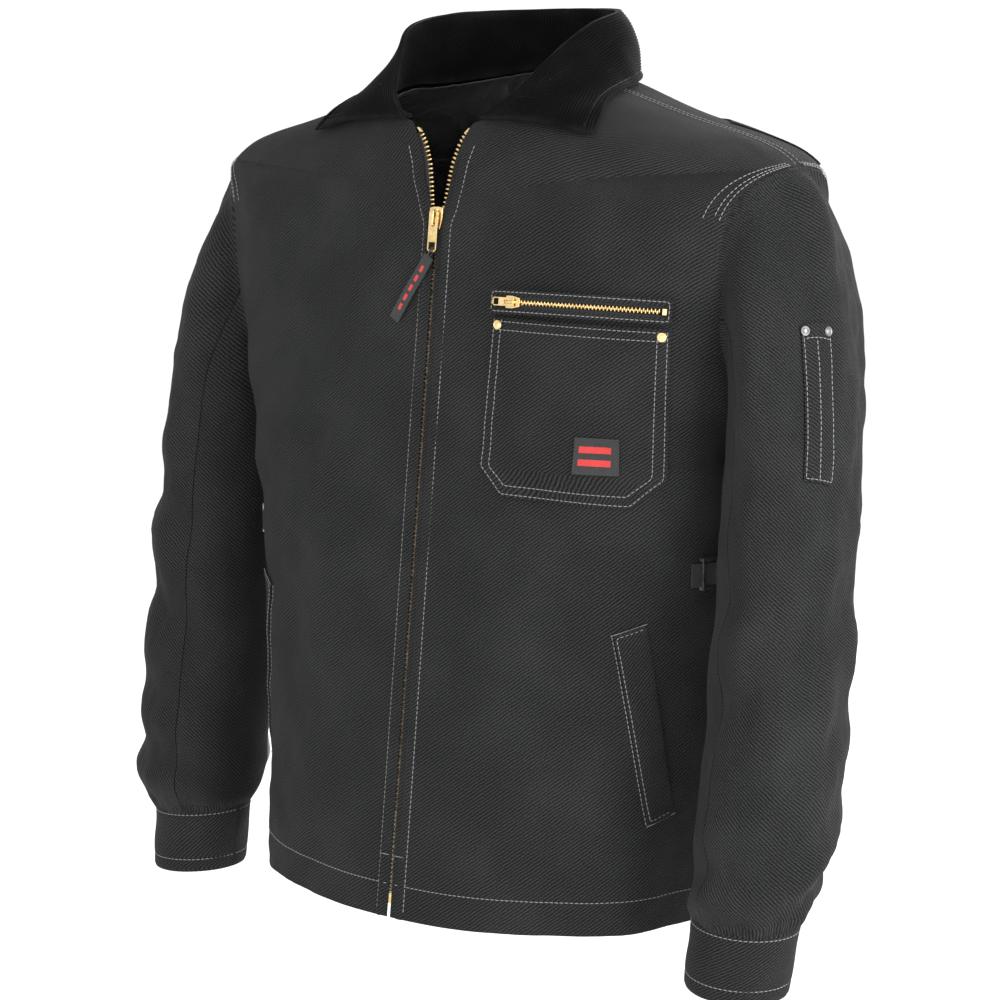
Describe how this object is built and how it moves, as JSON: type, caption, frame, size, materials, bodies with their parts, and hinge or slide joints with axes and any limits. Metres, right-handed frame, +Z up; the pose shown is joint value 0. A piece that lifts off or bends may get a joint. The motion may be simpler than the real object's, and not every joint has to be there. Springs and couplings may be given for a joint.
{
  "type": "cotton duck work jacket",
  "caption": "Hip-length cotton duck work jacket with corduroy collar, front zip, zipped chest pocket, slanted hand pockets, sleeve pen pocket and side adjusters.",
  "frame": {"origin": "midway between the two points where the shoulder seams meet the neck seam, where the jacket rests on its wearer", "axes": "+Z up along the standing wearer, -Y out of the front of the jacket, +X towards the left arm of the wearer"},
  "size_m": [0.6812, 0.3036, 0.7484],
  "materials": {
    "cotton_duck": "charcoal cotton duck, matt, with a visible twill and light stitching",
    "corduroy": "black corduroy with fine ribs",
    "lining_satin": "black satin lining with a soft sheen",
    "brass": "bright brass, polished by wear",
    "dark_metal": "dark antique nickel",
    "zip_tape": "black woven zip tape",
    "ribbon": "black woven ribbon",
    "badge": "black woven label with plain red bars",
    "webbing": "black duck strap",
    "pocket_cloth": "dark pocketing cloth"
  },
  "bodies": {
    "shell": {"left_front_panel": "cotton_duck", "left_front_lining": "lining_satin", "left_front_facing": "cotton_duck", "left_front_hem_turn": "cotton_duck", "right_front_panel": "cotton_duck", "right_front_lining": "lining_satin", "right_front_facing": "cotton_duck", "right_front_hem_turn": "cotton_duck", "back_panel": "cotton_duck", "back_lining": "lining_satin", "back_hem_turn": "cotton_duck", "left_back_pleat": "cotton_duck", "right_back_pleat": "cotton_duck", "collar_stand": "corduroy", "collar_leaf": "corduroy", "left_zip_teeth": "brass", "left_zip_tape": "zip_tape", "left_zip_top_stop": "brass", "right_zip_teeth": "brass", "right_zip_tape": "zip_tape", "right_zip_top_stop": "brass", "zip_bottom_box": "brass", "chest_zip_upper_teeth": "brass", "chest_zip_lower_teeth": "brass", "chest_zip_upper_tape": "zip_tape", "chest_zip_lower_tape": "zip_tape", "chest_zip_end_stop": "brass", "chest_zip_window": "cotton_duck", "chest_pocket": "cotton_duck", "chest_badge": "badge", "chest_rivet_inner": "brass", "chest_rivet_outer": "brass", "left_pocket_welt": "cotton_duck", "left_pocket_bag": "pocket_cloth", "left_adjuster_strap": "webbing", "right_pocket_welt": "cotton_duck", "right_pocket_bag": "pocket_cloth", "right_adjuster_strap": "webbing"},
    "front_slider": {"front_slider": "brass"},
    "front_pull": {"front_pull": "brass"},
    "front_tag": {"front_pull_tag": "ribbon"},
    "chest_slider": {"chest_slider": "brass"},
    "chest_pull": {"chest_pull": "brass"},
    "left_sleeve": {"left_sleeve_top": "cotton_duck", "left_sleeve_under": "cotton_duck", "left_sleeve_lining": "lining_satin", "left_cuff": "cotton_duck", "sleeve_pocket": "cotton_duck", "sleeve_rivet_back": "dark_metal", "sleeve_rivet_front": "dark_metal"},
    "left_buckle": {"left_adjuster_buckle": "dark_metal"},
    "right_sleeve": {"right_sleeve_top": "cotton_duck", "right_sleeve_under": "cotton_duck", "right_sleeve_lining": "lining_satin", "right_cuff": "cotton_duck"},
    "right_buckle": {"right_adjuster_buckle": "dark_metal"}
  },
  "joints": [
    {"name": "front_zip_slide", "type": "slide", "parent": "shell", "child": "front_slider", "axis": [0, -0.1192, -0.9929], "range_m": [0, 0.52], "deforming": ["left_zip_teeth", "right_zip_teeth"]},
    {"name": "front_pull_swing", "type": "hinge", "parent": "front_slider", "child": "front_pull", "pos_m": [0, -0.09829, -0.10039], "axis": [-1, 0, 0], "range_deg": [0, 120]},
    {"name": "front_tag_swing", "type": "hinge", "parent": "front_pull", "child": "front_tag", "pos_m": [0, -0.10188, -0.13027], "axis": [-0.8572, 0.0614, 0.5114], "range_deg": [0, 50]},
    {"name": "chest_zip_slide", "type": "hinge", "parent": "shell", "child": "chest_slider", "pos_m": [0.08361, 0.26518, -0.21102], "axis": [0, 0.1192, 0.9929], "range_deg": [0, 17.9], "deforming": ["chest_zip_upper_teeth", "chest_zip_lower_teeth"]},
    {"name": "chest_pull_swing", "type": "hinge", "parent": "chest_slider", "child": "chest_pull", "pos_m": [0.08801, -0.11298, -0.1656], "axis": [0, 0.1192, 0.9929], "range_deg": [0, 170]},
    {"name": "left_sleeve_raise", "type": "hinge", "parent": "shell", "child": "left_sleeve", "pos_m": [0.269, 0.004, -0.062], "axis": [0, -1, 0], "range_deg": [0, 45]},
    {"name": "right_sleeve_raise", "type": "hinge", "parent": "shell", "child": "right_sleeve", "pos_m": [-0.269, 0.004, -0.062], "axis": [0, 1, 0], "range_deg": [0, 45]},
    {"name": "left_adjuster_slide", "type": "slide", "parent": "shell", "child": "left_buckle", "axis": [0.2863, 0.9581, 0], "range_m": [-0.002, 0.002]},
    {"name": "right_adjuster_slide", "type": "slide", "parent": "shell", "child": "right_buckle", "axis": [-0.2863, 0.9581, 0], "range_m": [-0.002, 0.002]}
  ]
}
